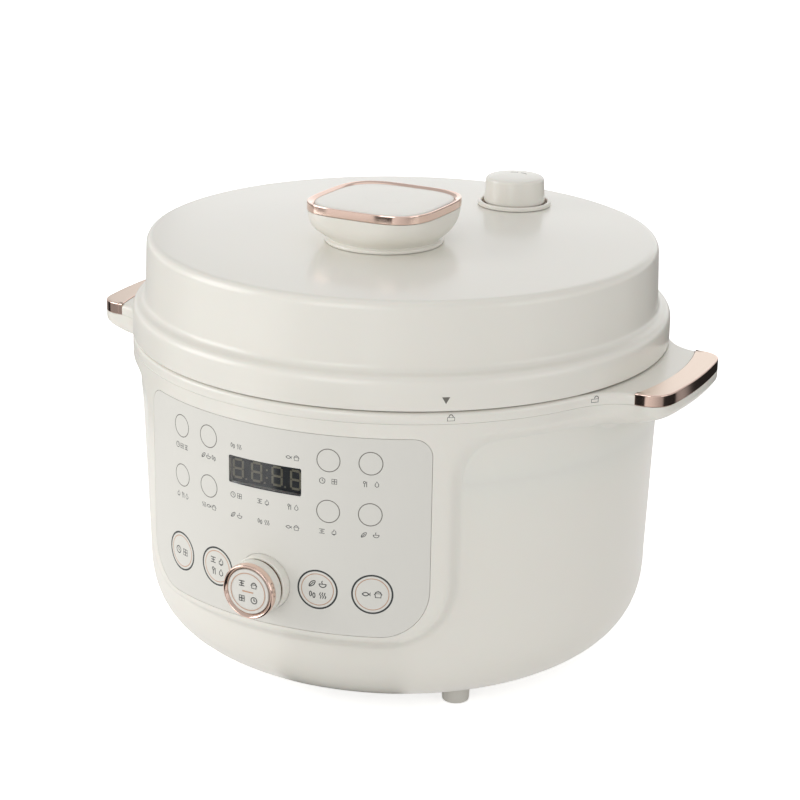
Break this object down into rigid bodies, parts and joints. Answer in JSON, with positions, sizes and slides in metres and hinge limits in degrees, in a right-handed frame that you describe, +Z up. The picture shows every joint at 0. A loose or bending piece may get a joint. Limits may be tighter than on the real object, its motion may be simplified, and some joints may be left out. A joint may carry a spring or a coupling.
{
  "type": "electric pressure cooker",
  "caption": "Electric pressure cooker: round body with ledge handles, turn-to-lock lid with squared knob and vent valve, touch panel with display and push dial.",
  "frame": {"origin": "on the pot axis, level with the undersides of the feet, which is the bottom centre of the whole object's box", "axes": "+Z up along the pot axis, -Y towards the control panel and dial, +X through the right handle as the user faces the panel"},
  "size_m": [0.3712, 0.346, 0.2733],
  "materials": {
    "white_plastic": "satin moulded warm white",
    "rose_gold": "polished rose-gold plating",
    "panel_film": "fine matt printed film",
    "smoked_window": "smoked clear window",
    "steel": "stamped stainless steel",
    "cast_aluminium": "cast, machined face",
    "non_stick": "satin non-stick coating",
    "black_plastic": "fine matt",
    "circuit_board": "solder-masked board",
    "silicone": "soft satin silicone",
    "foot_rubber": "matt light rubber",
    "brass_pin": "plain brass",
    "clear_cup": "translucent satin"
  },
  "bodies": {
    "base": {"outer_body": "white_plastic", "top_frame": "white_plastic", "handle_trim_right": "rose_gold", "handle_trim_left": "rose_gold", "control_film": "panel_film", "display_window": "smoked_window", "display_module": "black_plastic", "control_board": "circuit_board", "encoder_housing": "black_plastic", "knob_collar": "white_plastic", "power_board": "circuit_board", "inlet_socket": "black_plastic", "inlet_pin_line": "brass_pin", "inlet_pin_neutral": "brass_pin", "inlet_pin_earth": "brass_pin", "pot_support": "steel", "inner_pot": "non_stick", "heating_plate": "cast_aluminium", "sensor_spring": "steel", "pressure_switch": "black_plastic", "thermal_cutout": "black_plastic", "base_plate": "white_plastic", "base_screw_1": "steel", "base_screw_2": "steel", "base_screw_3": "steel", "base_screw_4": "steel", "foot_front_left": "foot_rubber", "foot_front_right": "foot_rubber", "foot_rear_left": "foot_rubber", "foot_rear_right": "foot_rubber"},
    "sensor": {"temperature_sensor": "cast_aluminium"},
    "dial_plunger": {"encoder_shaft": "steel"},
    "dial": {"knob_skirt": "white_plastic", "knob_ring": "rose_gold", "knob_face": "white_plastic"},
    "water_cup": {"water_collector": "clear_cup"},
    "seal": {"sealing_ring": "silicone"},
    "lid": {"lid_cover": "white_plastic", "pressure_lid": "steel", "inner_lid_plate": "steel", "plate_fastener": "steel", "lid_screw_1": "steel", "lid_screw_2": "steel", "lid_screw_3": "steel", "knob_base": "white_plastic", "knob_trim": "rose_gold", "knob_plate": "panel_film", "knob_screw": "steel", "valve_ring": "white_plastic", "valve_pipe": "steel", "filter_cap": "steel"},
    "valve_cap": {"valve_cap": "white_plastic"},
    "valve_needle": {"valve_needle": "steel"},
    "float": {"float_valve": "steel"}
  },
  "joints": [
    {"name": "lid_lift", "type": "slide", "parent": "base", "child": "seal", "axis": [0, 0, 1], "range_m": [0, 0.15]},
    {"name": "lid_turn", "type": "hinge", "parent": "seal", "child": "lid", "pos_m": [0, 0, 0.2], "axis": [0, 0, 1], "range_deg": [0, 32]},
    {"name": "valve_turn", "type": "hinge", "parent": "lid", "child": "valve_cap", "pos_m": [0.026, 0.096, 0.25], "axis": [0, 0, 1], "range_deg": [0, 60]},
    {"name": "valve_open", "type": "slide", "parent": "lid", "child": "valve_needle", "axis": [0, 0, 1], "range_m": [0, 0.0021]},
    {"name": "float_rise", "type": "slide", "parent": "lid", "child": "float", "axis": [0, 0, 1], "range_m": [0, 0.004]},
    {"name": "dial_press", "type": "slide", "parent": "base", "child": "dial_plunger", "axis": [0, 1, 0], "range_m": [0, 0.0008], "stiffness_N_per_m": 800, "springref_m": -0.002},
    {"name": "dial_turn", "type": "hinge", "parent": "dial_plunger", "child": "dial", "pos_m": [0, -0.16, 0.0874], "axis": [0, 1, 0], "continuous": true},
    {"name": "sensor_press", "type": "slide", "parent": "base", "child": "sensor", "axis": [0, 0, -1], "range_m": [0, 0.0015], "stiffness_N_per_m": 400, "springref_m": -0.003, "deforming": ["sensor_spring"]},
    {"name": "water_cup_slide", "type": "slide", "parent": "base", "child": "water_cup", "axis": [0, 1, 0], "range_m": [0, 0.03]}
  ],
  "couplings": [
    {"joint": "valve_open", "follows": "valve_turn", "m_per_rad": 0.002}
  ]
}
